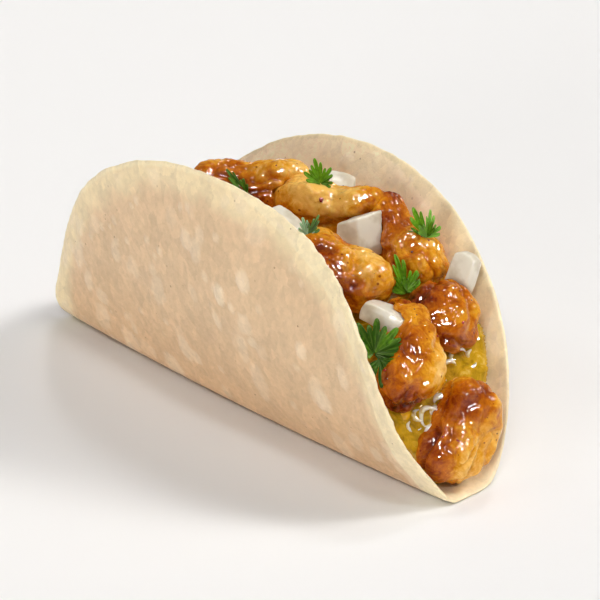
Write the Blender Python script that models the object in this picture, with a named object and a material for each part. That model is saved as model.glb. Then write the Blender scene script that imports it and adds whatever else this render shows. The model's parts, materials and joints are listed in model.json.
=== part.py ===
# Soft chicken taco: a flour tortilla folded round strips of glazed chicken, diced white onion and green
# salsa. It stands on its fold. +X runs along the fold, +Y is the half that leans back, +Z is up, and the
# origin is on the flat foot under the middle of the fold.
import math

import bmesh
import bpy
from mathutils import Euler, Vector, noise

MM = 0.001

GUIDE = "guide_"

# Clearances between pieces that touch.
WALL_GAP = 0.5 * MM
PIECE_GAP = 0.5 * MM

# The tortilla: a disc, a little shorter along the fold, with a thinner rounded rim.
HALF_ALONG = 71.3 * MM
HALF_ACROSS = 75.0 * MM
THICKNESS = 2.0 * MM
RIM_THICKNESS = 1.2 * MM
RIM_START = 0.86
RIM_ROUND = 0.4
TORTILLA_CELLS = (24, 34)
FOLD_CROWDING = 0.5

# How the sheet rises on each side of the fold. A side lies flat for "foot", bends up round "radius" to
# the angle "rise", then curls on by "curl" for each metre. Terms in brackets multiply 1, t, t squared and
# so on, where t runs from -1 to 1 along the fold.
NEAR_SIDE = {
    "sign": -1,
    "foot": 3.8 * MM,
    "foot_taper": 0.84,
    "radius": 3.4 * MM,
    "radius_growth": 1.8 * MM,
    "rise": (63.0, -17.0, 6.5, -4.5),
    "curl": (0.58 / MM, 0.66 / MM, 0.0, -0.2 / MM),
    "wave": 1.2 * MM,
}
FAR_SIDE = {
    "sign": 1,
    "foot": 7.9 * MM,
    "foot_taper": 0.0,
    "radius": 8.1 * MM,
    "radius_growth": -1.2 * MM,
    "rise": (62.3, 1.2, -4.5),
    "curl": (0.115 / MM, -0.06 / MM),
    "wave": 0.4 * MM,
}

# Long waves that grow from WAVE_START of the way out to the rim, a fine sway over the whole sheet, and
# the arc lengths from the fold between which both set in.
WAVE_LENGTH = 60.0 * MM
WAVE_PHASE = -2.6
WAVE_START = 0.4
SWAY = 0.5 * MM
SWAY_LENGTH = 20.0 * MM
TRUE_FOOT = (9.6 * MM, 25.6 * MM)

# The room inside the fold, as a guide: it spreads out above the rims to a ceiling.
ROOM_CELLS = (16, 22)
CEILING = Vector((0.0, 10.0 * MM, 120.0 * MM))
CEILING_SPREAD = (1.25, 0.9)

# The salsa bed: its level at the middle and how it falls to the ends, in fractions of the half length.
BED_LEVEL = 31.0 * MM
BED_END = 0.92
BED_FALL = 7.0
BED_TILT = 6.0 * MM
BED_BUMP = 1.6 * MM
BED_LUMP_SIZES = (9.0 * MM, 4.0 * MM)
BED_CELLS = (20, 8)
BED_REACH = 0.985
BED_CROWDING = 0.45

# Chicken strips: points (x, y, z, radius) in mm from tip to tip, unevenness and seed. The radius at a
# tip is the one that the strip has just inside it.
CHICKEN = {
    "chicken_front": ([(58, -2, 6, 7), (65, 4, 10, 8.5), (65.5, 8, 16, 8), (60, 12, 25, 7)], 0.14, 3),
    "chicken_curl": ([(40, 7, 38, 6), (50, 2.5, 36, 7), (57, -1, 30, 8), (51, -7, 21, 7)], 0.14, 11),
    "chicken_middle": ([(13, -5, 45, 7), (24, -2, 46, 8.5), (39, 7, 40, 8)], 0.16, 23),
    "chicken_upper": ([(-7, 11, 51, 5.5), (5, 17, 51, 6), (16, 25, 52, 5)], 0.16, 31),
    "chicken_side": ([(40, 19, 40, 6), (47, 17, 35, 8.5), (54, 14, 29, 7)], 0.14, 43),
    "chicken_wall": ([(14, 28, 52, 4), (24, 23, 46, 6), (40, 22.5, 41, 7)], 0.16, 57),
    "chicken_rear": ([(-25, 1, 53, 4.5), (-17, 7, 50, 7.5), (-4, 20, 53, 6)], 0.18, 61),
    "chicken_back": ([(-57, -2, 6, 7), (-64, 3, 11, 8.5), (-65, 8, 17, 8), (-58, 13, 25, 6)], 0.14, 71),
    "chicken_near": ([(-27, -8, 41, 5.5), (-12, -9, 46, 7), (4, -9, 43, 6)], 0.16, 107),
    "chicken_back_near": ([(-32, -5, 40, 6), (-45, -4, 36, 7.5), (-56, -3, 26, 7)], 0.16, 83),
    "chicken_back_far": ([(-32, 18, 34, 6), (-44, 18, 35, 7.5), (-55, 14, 29, 6.5)], 0.16, 97),
}
STRIP_FLATNESS = 0.92
STRIP_SIDES = 20
STRIP_RINGS = 15
STRIP_BLUNT = 3.0
STRIP_VOXEL = 1.4 * MM
STRIP_KEEP = 0.15
LUMP_SIZES = (11.0 * MM, 5.0 * MM)

# Onion dice: centre and size in mm, turn about X, Y and Z in degrees.
ONION = {
    "onion_middle": ((46, 0, 39), (12, 10, 5), (-20, 15, 20)),
    "onion_open": ((19, 14, 48.5), (11, 9, 9), (20, 10, 25)),
    "onion_rim": ((11, -3, 51), (11, 8, 7), (10, 25, 10)),
    "onion_wall": ((45, 25, 42), (7, 4, 11), (-25, 5, 10)),
    "onion_top": ((-0.5, 25, 50), (9, 7, 7), (20, 10, 40)),
    "onion_back": ((-51, 6, 37), (10, 8, 6), (15, -25, 20)),
    "onion_back_low": ((-66, -2, 20), (5, 8, 8), (10, -10, 15)),
}
DICE_CUTS = 2
DICE_SQUARENESS = 7.0
DICE_BOW = 0.08

# The order in which pieces give way: each is cut back from all that come before it.
CUT_ORDER = [
    "onion_middle", "chicken_front", "chicken_curl", "chicken_middle", "chicken_upper", "onion_open",
    "chicken_side", "chicken_wall", "chicken_rear", "onion_rim", "onion_wall", "onion_top",
    "chicken_near", "chicken_back", "chicken_back_near", "chicken_back_far", "onion_back", "onion_back_low",
]

# Colours in linear RGB, roughness.
FINISHES = {
    "tortilla": ((0.68, 0.50, 0.32), 0.75),
    "salsa": ((0.42, 0.33, 0.05), 0.15),
    "chicken": ((0.55, 0.20, 0.04), 0.25),
    "onion": ((0.75, 0.72, 0.62), 0.3),
}


def smooth_step(low, high, value):
    t = min(max((value - low) / (high - low), 0.0), 1.0)
    return t * t * (3.0 - 2.0 * t)


def polynomial(terms, t):
    return sum(term * t**power for power, term in enumerate(terms))


def ripple(x, s):
    """How far the sheet sways inward: waves that grow towards the rim, none over the foot."""
    side = FAR_SIDE if s >= 0.0 else NEAR_SIDE
    out = math.hypot(x / HALF_ALONG, s / HALF_ACROSS)
    crest = math.sin(2.0 * math.pi * x / WAVE_LENGTH + WAVE_PHASE)
    wave = side["wave"] * smooth_step(WAVE_START, 1.0, out) * crest
    sway = SWAY * noise.noise(Vector((x, s, 0.0)) / SWAY_LENGTH)
    return (wave + sway) * smooth_step(*TRUE_FOOT, abs(s))


def wall(x, s, depth=0.0):
    """The point s along the arc from the fold line at x, depth inside the sheet's outer face."""
    side = FAR_SIDE if s >= 0.0 else NEAR_SIDE
    t = min(max(x / HALF_ALONG, -1.0), 1.0)
    foot = side["foot"] * (1.0 - side["foot_taper"] * t * t)
    radius = side["radius"] + side["radius_growth"] * (1.0 - t) ** 2
    rise = math.radians(polynomial(side["rise"], t))
    curl = math.radians(polynomial(side["curl"], t))
    flat = min(abs(s), foot)
    bend = min(max(abs(s) - foot, 0.0), radius * rise)
    rest = max(abs(s) - foot - radius * rise, 0.0)
    y = z = angle = 0.0
    for length, turn in ((flat, 0.0), (bend, bend / radius), (rest, curl * rest)):
        half = turn / 2.0
        chord = length * (math.sin(half) / half if half > 1e-6 else 1.0)
        y += chord * math.cos(angle + half)
        z += chord * math.sin(angle + half)
        angle += turn
    depth += ripple(x, s)
    return Vector((x, side["sign"] * (y - depth * math.sin(angle)), z + depth * math.cos(angle)))


def sheet_thickness(x, s):
    out = math.hypot(x / HALF_ALONG, s / HALF_ACROSS)
    return THICKNESS + (RIM_THICKNESS - THICKNESS) * smooth_step(RIM_START, 1.0, out)


def disc_place(i, j, cells):
    """Grid corner i, j of a square grid drawn out to the tortilla's disc, rows crowded at the fold."""
    u = 2.0 * i / cells[0] - 1.0
    w = 2.0 * j / cells[1] - 1.0
    v = w * (1.0 - FOLD_CROWDING + FOLD_CROWDING * abs(w))
    return HALF_ALONG * u * math.sqrt(1.0 - v * v / 2.0), HALF_ACROSS * v * math.sqrt(1.0 - u * u / 2.0)


def rim_corners(cells):
    """The grid corners round the edge, in order."""
    nx, ny = cells
    corners = [(i, 0) for i in range(nx)] + [(nx, j) for j in range(ny)]
    return corners + [(i, ny) for i in range(nx, 0, -1)] + [(0, j) for j in range(ny, 0, -1)]


def grid_skin(mesh, cells, depth_at):
    """A skin over the whole disc at the depth that depth_at gives. Returns its corners by i, j."""
    corners = {}
    for j in range(cells[1] + 1):
        for i in range(cells[0] + 1):
            x, s = disc_place(i, j, cells)
            corners[i, j] = mesh.verts.new(wall(x, s, depth_at(x, s)))
    for j in range(cells[1]):
        for i in range(cells[0]):
            mesh.faces.new([corners[i, j], corners[i + 1, j], corners[i + 1, j + 1], corners[i, j + 1]])
    return corners


def join_rings(mesh, ring_a, ring_b):
    for k in range(len(ring_a)):
        n = (k + 1) % len(ring_a)
        mesh.faces.new([ring_a[k], ring_a[n], ring_b[n], ring_b[k]])


def finish(name, mesh, slot=None):
    """Turns a bmesh into a named object. Without a slot it is a guide that isn't part of the model."""
    bmesh.ops.recalc_face_normals(mesh, faces=mesh.faces)
    data = bpy.data.meshes.new(name)
    mesh.to_mesh(data)
    mesh.free()
    piece = bpy.data.objects.new(name, data)
    bpy.context.scene.collection.objects.link(piece)
    if slot is None:
        piece.hide_render = True
        piece.display_type = "WIRE"
    else:
        data.materials.append(MATERIALS[slot])
        data.shade_smooth()
    return piece


def make_materials():
    made = {}
    for slot, (colour, roughness) in FINISHES.items():
        material = bpy.data.materials.new(slot)
        material.use_nodes = True
        shader = material.node_tree.nodes["Principled BSDF"]
        shader.inputs["Base Color"].default_value = (*colour, 1.0)
        shader.inputs["Roughness"].default_value = roughness
        shader.inputs["Metallic"].default_value = 0.0
        made[slot] = material
    return made


def make_tortilla():
    mesh = bmesh.new()
    outer = grid_skin(mesh, TORTILLA_CELLS, lambda x, s: 0.0)
    inner = grid_skin(mesh, TORTILLA_CELLS, sheet_thickness)
    crest = []
    corners = rim_corners(TORTILLA_CELLS)
    for i, j in corners:
        x, s = disc_place(i, j, TORTILLA_CELLS)
        beyond = 1.0 + RIM_ROUND * RIM_THICKNESS / HALF_ACROSS
        crest.append(mesh.verts.new(wall(x * beyond, s * beyond, RIM_THICKNESS / 2.0)))
    join_rings(mesh, [outer[c] for c in corners], crest)
    join_rings(mesh, crest, [inner[c] for c in corners])
    return finish("tortilla", mesh, "tortilla")


def make_room():
    """Guide solid: the room inside the fold, opening out above the rims."""
    mesh = bmesh.new()
    floor = grid_skin(mesh, ROOM_CELLS, lambda x, s: sheet_thickness(x, s) + WALL_GAP)
    corners = rim_corners(ROOM_CELLS)
    top = []
    for i, j in corners:
        x, s = disc_place(i, j, ROOM_CELLS)
        top.append(mesh.verts.new(CEILING + Vector((x * CEILING_SPREAD[0], s * CEILING_SPREAD[1], 0.0))))
    join_rings(mesh, [floor[c] for c in corners], top)
    mesh.faces.new(top)
    return finish(GUIDE + "room", mesh)


def bed_level(x, side):
    fall = 1.0 - (abs(x) / HALF_ALONG / BED_END) ** BED_FALL
    return THICKNESS + WALL_GAP + max(fall, 0.0) * (BED_LEVEL - THICKNESS + side * BED_TILT / 2.0)


def bed_edge(x, side):
    """Arc length at which the inner wall reaches the bed's level."""
    low, high = 0.0, HALF_ACROSS
    for _ in range(40):
        mid = (low + high) / 2.0
        point = wall(x, side * mid, THICKNESS + WALL_GAP)
        low, high = (mid, high) if point.z < bed_level(x, side) else (low, mid)
    return side * low


def make_bed(name, grow=0.0, slot=None):
    """Salsa and small bits that fill the bottom of the fold, with an uneven top."""
    mesh = bmesh.new()
    rings = []
    along, across = BED_CELLS
    for i in range(along + 1):
        reach = math.sin(math.pi / 2.0 * (2.0 * i / along - 1.0)) * BED_REACH
        x = HALF_ALONG * BED_END * reach
        near, far = bed_edge(x, -1), bed_edge(x, 1)
        under = []
        for j in range(across + 1):
            w = j / across
            w = 0.5 + (w - 0.5) * (1.0 - BED_CROWDING + 2.0 * BED_CROWDING * abs(w - 0.5))
            under.append(wall(x, near + (far - near) * w, THICKNESS + WALL_GAP))
        over = []
        for j in range(1, across):
            point = under[0].lerp(under[-1], j / across)
            lump = noise.noise(point / BED_LUMP_SIZES[0]) + 0.5 * noise.noise(point / BED_LUMP_SIZES[1])
            point.z += grow + BED_BUMP * lump * math.sin(math.pi * j / across) * (1.0 - reach * reach)
            over.append(point)
        rings.append([mesh.verts.new(p) for p in under + over[::-1]])
    for ring_a, ring_b in zip(rings, rings[1:]):
        join_rings(mesh, ring_a, ring_b)
    mesh.faces.new(rings[0])
    mesh.faces.new(rings[-1])
    return finish(name, mesh, slot)


def along_spine(points, t):
    """Smooth line through the points, each (x, y, z, radius) in mm: place, direction and radius at t."""
    last = len(points) - 1
    k = min(int(t * last), last - 1)
    f = t * last - k
    before = points[k - 1] if k > 0 else [2 * a - b for a, b in zip(points[0], points[1])]
    after = points[k + 2] if k + 2 <= last else [2 * a - b for a, b in zip(points[-1], points[-2])]
    place, slope = [], []
    for a, b, c, d in zip(before, points[k], points[k + 1], after):
        linear, square, cubic = c - a, 2 * a - 5 * b + 4 * c - d, 3 * b - a - 3 * c + d
        place.append(b + 0.5 * (linear * f + square * f**2 + cubic * f**3))
        slope.append(0.5 * (linear + 2 * square * f + 3 * cubic * f**2))
    return Vector(place[:3]) * MM, Vector(slope[:3]).normalized(), place[3] * MM


def make_strip(name, grow=0.0, slot=None):
    """A lumpy closed strip of chicken round its spine, rounded off at the tips."""
    points, unevenness, seed = CHICKEN[name.removeprefix(GUIDE)]
    mesh = bmesh.new()
    offset = Vector((seed, 2.0 * seed, -seed))
    rings = []
    for i in range(1, STRIP_RINGS + 1):
        t = 0.5 - 0.5 * math.cos(math.pi * i / (STRIP_RINGS + 1))
        centre, forward, radius = along_spine(points, t)
        radius *= (1.0 - abs(2.0 * t - 1.0) ** STRIP_BLUNT) ** (1.0 / STRIP_BLUNT)
        across = forward.cross(Vector((0.0, 0.0, 1.0))).normalized()
        upward = across.cross(forward)
        ring = []
        for k in range(STRIP_SIDES):
            turn = 2.0 * math.pi * k / STRIP_SIDES
            spoke = radius * (across * math.cos(turn) + upward * math.sin(turn) * STRIP_FLATNESS)
            lump = noise.noise((centre + spoke) / LUMP_SIZES[0] + offset)
            lump += 0.5 * noise.noise((centre + spoke) / LUMP_SIZES[1] - offset)
            spoke *= 1.0 + unevenness * lump + grow / spoke.length
            ring.append(mesh.verts.new(centre + spoke))
        rings.append(ring)
    for ring_a, ring_b in zip(rings, rings[1:]):
        join_rings(mesh, ring_a, ring_b)
    for end, ring in ((0.0, rings[0]), (1.0, rings[-1])):
        place, forward, _ = along_spine(points, end)
        tip = mesh.verts.new(place + forward * grow * (2.0 * end - 1.0))
        for k in range(STRIP_SIDES):
            mesh.faces.new([ring[k], ring[(k + 1) % STRIP_SIDES], tip])
    strip = finish(name, mesh, slot)
    skin = strip.modifiers.new("skin", "REMESH")
    skin.mode = "VOXEL"
    skin.voxel_size = STRIP_VOXEL
    skin.use_smooth_shade = True
    facets = strip.modifiers.new("facets", "DECIMATE")
    facets.ratio = STRIP_KEEP
    return strip


def make_dice(name, grow=0.0, slot=None):
    """A cut block of onion with softened corners, slightly bowed like the layer that it is cut from."""
    centre, size, turn = ONION[name.removeprefix(GUIDE)]
    mesh = bmesh.new()
    bmesh.ops.create_cube(mesh, size=2.0)
    bmesh.ops.subdivide_edges(mesh, edges=mesh.edges, cuts=DICE_CUTS, use_grid_fill=True)
    spin = Euler([math.radians(a) for a in turn]).to_matrix()
    for corner in mesh.verts:
        p = corner.co
        p /= sum(abs(c) ** DICE_SQUARENESS for c in p) ** (1.0 / DICE_SQUARENESS)
        p.z += DICE_BOW * (1.0 - p.x * p.x) * 2.0
        half = Vector(size) * MM / 2.0 + Vector((grow, grow, grow))
        corner.co = Vector(centre) * MM + spin @ Vector(c * h for c, h in zip(p, half))
    return finish(name, mesh, slot)


def cut(piece, guide, operation):
    modifier = piece.modifiers.new(operation.lower(), "BOOLEAN")
    modifier.operation = operation
    modifier.object = guide


def boxes_meet(a, b):
    """Whether two objects' bounding boxes overlap."""
    spans = []
    for piece in (a, b):
        corners = [vertex.co for vertex in piece.data.vertices]
        spans.append([(min(c[k] for c in corners), max(c[k] for c in corners)) for k in range(3)])
    return all(p[0] < q[1] and q[0] < p[1] for p, q in zip(*spans))


for leftover in list(bpy.data.objects):
    bpy.data.objects.remove(leftover)
MATERIALS = make_materials()

make_tortilla()
room = make_room()
make_bed("salsa", slot="salsa")
placed = [make_bed(GUIDE + "salsa", grow=PIECE_GAP)]
for piece_name in CUT_ORDER:
    make = make_strip if piece_name in CHICKEN else make_dice
    piece = make(piece_name, slot="chicken" if piece_name in CHICKEN else "onion")
    cut(piece, room, "INTERSECT")
    for neighbour in placed:
        if boxes_meet(piece, neighbour):
            cut(piece, neighbour, "DIFFERENCE")
    placed.append(make(GUIDE + piece_name, grow=PIECE_GAP))
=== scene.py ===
# Looks for a soft chicken taco: wheat tortilla, glazed chicken, onion dice, green salsa, coriander leaves.
import json
import math
import random

import bmesh
import bpy
from mathutils import Matrix, Vector, kdtree, noise
from mathutils.bvhtree import BVHTree

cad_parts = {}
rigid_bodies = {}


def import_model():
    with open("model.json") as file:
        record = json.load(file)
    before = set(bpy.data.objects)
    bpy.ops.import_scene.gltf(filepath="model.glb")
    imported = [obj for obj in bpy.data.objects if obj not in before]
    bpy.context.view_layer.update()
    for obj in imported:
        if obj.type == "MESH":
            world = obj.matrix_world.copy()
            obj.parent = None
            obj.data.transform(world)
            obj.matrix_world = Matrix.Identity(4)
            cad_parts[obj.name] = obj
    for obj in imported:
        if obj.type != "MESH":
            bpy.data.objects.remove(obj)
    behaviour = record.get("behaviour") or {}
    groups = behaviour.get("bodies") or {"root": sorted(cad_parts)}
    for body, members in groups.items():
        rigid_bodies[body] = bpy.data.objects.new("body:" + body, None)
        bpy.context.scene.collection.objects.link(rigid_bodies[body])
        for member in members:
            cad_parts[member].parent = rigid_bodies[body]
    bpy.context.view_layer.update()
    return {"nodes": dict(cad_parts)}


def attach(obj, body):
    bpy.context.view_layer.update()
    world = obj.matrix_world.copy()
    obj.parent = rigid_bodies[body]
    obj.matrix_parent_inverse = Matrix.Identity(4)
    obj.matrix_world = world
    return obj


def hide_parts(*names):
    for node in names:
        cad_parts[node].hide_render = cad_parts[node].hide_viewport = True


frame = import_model()
noise.seed_set(2)       # the shapes come out the same at every run
mm = 0.001
print("frame loaded,", len(frame["nodes"]), "nodes")


def linear(hexColour):
    # sRGB hex to the linear colour that shaders and lights take
    parts = [int(hexColour[i:i + 2], 16) / 255 for i in (1, 3, 5)]
    return tuple(c / 12.92 if c <= 0.04045 else ((c + 0.055) / 1.055) ** 2.4 for c in parts) + (1.0,)


def setInputs(node, values):
    # a value is a number, a colour or what a link comes from: a node stands for its first output in use
    for name, value in values.items():
        if isinstance(value, bpy.types.Node):
            value = next(socket for socket in value.outputs if socket.enabled)
        if isinstance(value, bpy.types.NodeSocket):
            node.id_data.links.new(value, node.inputs[name])
        else:
            node.inputs[name].default_value = value


def addNode(tree, kind, settings=None, links=None, stops=None):
    # one shader node: settings are properties or input values, links go to inputs, stops fill a colour ramp
    node = tree.nodes.new("ShaderNode" + kind)
    for name, value in (settings or {}).items():
        if isinstance(name, int) or name in node.inputs:
            setInputs(node, {name: value})
        else:
            setattr(node, name, value)
    setInputs(node, links or {})
    if stops:
        ramp = node.color_ramp
        while len(ramp.elements) < len(stops):
            ramp.elements.new(0.5)
        for element, (place, colour) in zip(ramp.elements, stops):
            element.position = place
            element.color = linear(colour)
    return node


def newMaterial(name):
    # gives the material, its node tree, its shader and the Object coordinates
    material = bpy.data.materials.new(name)
    material.use_nodes = True
    tree = material.node_tree
    return material, tree, tree.nodes["Principled BSDF"], addNode(tree, "TexCoord").outputs["Object"]


def treeOf(points):
    # finds the nearest of some points by its place in the list
    tree = kdtree.KDTree(len(points))
    for k, point in enumerate(points):
        tree.insert(point, k)
    tree.balance()
    return tree


def setMode(mode):
    bpy.ops.object.mode_set(mode=mode)


def selectOnly(piece):
    bpy.ops.object.select_all(action="DESELECT")
    piece.select_set(True)
    bpy.context.view_layer.objects.active = piece


def cleanMesh(piece, gap=0.0):
    # merges vertices that are closer than gap and turns the faces outwards
    selectOnly(piece)
    setMode("EDIT")
    bpy.ops.mesh.select_all(action="SELECT")
    if gap:
        bpy.ops.mesh.remove_doubles(threshold=gap)
    bpy.ops.mesh.normals_make_consistent(inside=False)
    setMode("OBJECT")


def copyOfNode(nodeName, pieceName):
    # a merged copy of a CAD node to model on
    piece = bpy.data.objects.new(pieceName, frame["nodes"][nodeName].data.copy())
    bpy.context.scene.collection.objects.link(piece)
    piece.data.materials.clear()
    cleanMesh(piece, 0.01 * mm)
    return piece


def applyModifier(piece, kind, **settings):
    modifier = piece.modifiers.new(kind.lower(), kind)
    for name, value in settings.items():
        setattr(modifier, name, value)
    selectOnly(piece)
    bpy.ops.object.modifier_apply(modifier=modifier.name)


def evenOut(piece, grid, factor, passes):
    # remakes the mesh in even cells of grid mm, then smooths it
    applyModifier(piece, "REMESH", mode="VOXEL", voxel_size=grid * mm)
    applyModifier(piece, "SMOOTH", factor=factor, iterations=passes)


def push(piece, amount):
    # moves each vertex along its normal by amount(place in mm, normal), in mm
    spots = [(v, v.co / mm, v.normal.copy()) for v in piece.data.vertices]
    for vertex, place, normal in spots:
        vertex.co += normal * amount(place, normal) * mm
    piece.data.update()


def writeAttribute(piece, name, values):
    attribute = piece.data.attributes.new(name, "FLOAT", "POINT")
    attribute.data.foreach_set("value", values)


def ease(low, high, value):
    t = min(max((value - low) / (high - low), 0.0), 1.0)
    return t * t * (3.0 - 2.0 * t)


def finishPiece(piece, material, slot, *nodeNames):
    piece.data.materials.clear()
    piece.data.materials.append(material)
    piece.data.shade_smooth()
    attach(piece, "root")
    if nodeNames:
        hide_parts(*nodeNames)


# camera, light and table
shot = {
    "azimuth": 49.6, "elevation": 24.7,   # degrees
    "distance": 960.0,                    # mm from the point that it turns about
    "centre": (0.0, 0.0, 30.0),           # mm
    "aimRight": 9.54, "aimDown": 1.92,    # mm that the frame's middle lies off the centre
    "lens": 234.1,
}
turn, tilt = math.radians(shot["azimuth"]), math.radians(shot["elevation"])
backward = Vector((math.sin(turn) * math.cos(tilt), -math.cos(turn) * math.cos(tilt), math.sin(tilt)))
rightward = Vector((math.cos(turn), math.sin(turn), 0.0))
upward = backward.cross(rightward)
eye = (Vector(shot["centre"]) + backward * shot["distance"]) * mm
aim = (Vector(shot["centre"]) + rightward * shot["aimRight"] - upward * shot["aimDown"]) * mm
bpy.ops.object.camera_add(location=eye, rotation=(eye - aim).to_track_quat("Z", "Y").to_euler())
camera = bpy.context.object
camera.data.lens = shot["lens"]
camera.data.clip_end = 20.0
bpy.context.scene.camera = camera

studio = {
    "sky": "#FFF4E4", "skyStrength": 0.18,
    "table": "#ECEDEF", "tableSize": 14.0,     # metres
}
# each lamp: degrees of azimuth (0 = +X, 90 = +Y) and elevation, strength, degrees of softness, colour, and
# whether it lights things, shines in wet surfaces or does both
lamps = {
    "window": (58.0, 45.0, 0.7, 30.0, "#FFFBF6", "lights"),
    "windowPane": (60.0, 44.0, 1.10, 15.0, "#FFFBF6", "lights"),
    "bounceCard": (-68.0, 7.0, 1.12, 20.0, "#FFFCF8", "lights"),
    "glintTop": (-10.0, 66.0, 0.60, 10.0, "#FFFFFF", "both"),
    "glintBack": (120.0, 62.0, 0.46, 9.0, "#FFFFFF", "both"),
    "glintFront": (-50.0, 40.0, 0.60, 10.0, "#FFFFFF", "both"),
    "glintLeft": (-120.0, 50.0, 0.20, 9.0, "#FFFFFF", "both"),
    "sparkPane": (60.0, 44.0, 2.0, 8.0, "#FFFFFF", "shines"),
    "sparkTop": (-14.0, 54.0, 3.6, 8.0, "#FFFFFF", "shines"),
    "sparkFront": (-50.0, 40.0, 3.6, 8.0, "#FFFFFF", "shines"),
}
bpy.context.scene.view_settings.view_transform = "Standard"
world = bpy.data.worlds.new("softRoom")
bpy.context.scene.world = world
world.use_nodes = True
setInputs(world.node_tree.nodes["Background"],
           {"Color": linear(studio["sky"]), "Strength": studio["skyStrength"]})
for lampName, (azimuth, elevation, strength, softness, colour, does) in lamps.items():
    turn, tilt = math.radians(azimuth), math.radians(elevation)
    towards = Vector((math.cos(turn) * math.cos(tilt), math.sin(turn) * math.cos(tilt), math.sin(tilt)))
    bpy.ops.object.light_add(type="SUN", rotation=towards.to_track_quat("Z", "Y").to_euler())
    lamp = bpy.context.object
    lamp.name = lampName
    lamp.data.energy = strength
    lamp.data.color = linear(colour)[:3]
    lamp.data.angle = math.radians(softness)
    lamp.visible_glossy = does != "lights"
    lamp.visible_diffuse = does != "shines"
bpy.ops.mesh.primitive_plane_add(size=studio["tableSize"], location=(0.0, 0.0, -0.05 * mm))
table = bpy.context.object
table.name = "table"
tableTop = bpy.data.materials.new("matt_laminate")
tableTop.use_nodes = True
setInputs(tableTop.node_tree.nodes["Principled BSDF"],
           {"Base Color": linear(studio["table"]), "Roughness": 0.9, "Specular IOR Level": 0.0})
table.data.materials.append(tableTop)
print("camera, light and table set")


# tortilla: the CAD sheet made fine, with blisters, puckers and a ragged rim
tortilla = {
    "blisters": 260, "blisterSize": (1.2, 3.4), "blisterRise": 0.30,   # mm
    "puckers": 60, "puckerSize": (0.7, 1.3), "puckerRise": 0.28,
    "sway": 0.16, "swaySize": 9.0,
    "ragged": 0.22, "raggedSize": 2.2, "raggedReach": 2.5,
    "scallop": 0.9, "scallopSize": 2.3,                # on the near rim's open end
    # the low colour is painted shade: the dough darkens to it towards the bottom
    "rim": "#F1E1BC", "pale": "#EBD8B1", "dough": "#DCBF9C", "low": "#D9B48C",
    # the inside colours and the inside band's width are the sheet's own pinker inside, painted brighter and
    # paler as bounce light
    "insideDoughAndBounceLight": "#FCD0A4", "insidePaleAndBounceLight": "#FFEDCC",
    "blisterTop": "#F3E2C8", "fleck": "#7A5236",
    "paleBand": 6.0, "insideBandPaintedLight": 7.0,                 # mm
    # the tip band is cream rim widened as painted light on the shaded lip
    "nearBand": 3.0, "farBand": 6.5, "tipBandAndPaintedLight": 7.5,    # mm of clear cream rim at the open end
    # clear blisters: place in mm, radius, length over width, height, paleness
    "clearBlisters": [
        (7.0, -19.0, 37.1, 2.3, 1.45, 0.55, 0.65), (15.7, -19.0, 43.6, 2.6, 1.3, 0.4, 0.45),
        (39.5, -14.3, 19.6, 3.1, 1.4, 0.5, 0.5), (33.9, -16.7, 31.7, 2.0, 1.4, 0.4, 0.4),
        (10.5, -19.0, 35.0, 1.4, 1.2, 0.3, 0.4), (-5.5, -19.2, 47.7, 2.6, 1.3, 0.3, 0.4),
        (-7.0, 34.5, 53.0, 2.4, 1.2, 0.5, 0.35), (20.0, 34.5, 49.0, 1.8, 1.3, 0.35, 0.3),
    ],
    # small tight puckers: place in mm
    "clearPuckers": [
        (-50.4, -15.7, 36.5), (-42.4, -16.5, 38.6), (-35.6, -17.4, 42.7), (-35.4, -16.7, 36.6),
        (-25.4, -18.4, 51.5), (-22.1, -18.0, 41.8), (-19.3, -17.9, 38.4), (-7.5, -19.1, 56.0),
        (5.8, -19.5, 52.4), (-55.6, -13.6, 23.0), (-16.9, -18.2, 40.9), (-38.0, -17.0, 40.0),
        (-47.0, -16.0, 34.0), (-27.5, -18.2, 49.5), (-31.0, -17.5, 39.0), (-52.0, -15.0, 30.0),
    ],
    "seed": 5,
}


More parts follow.
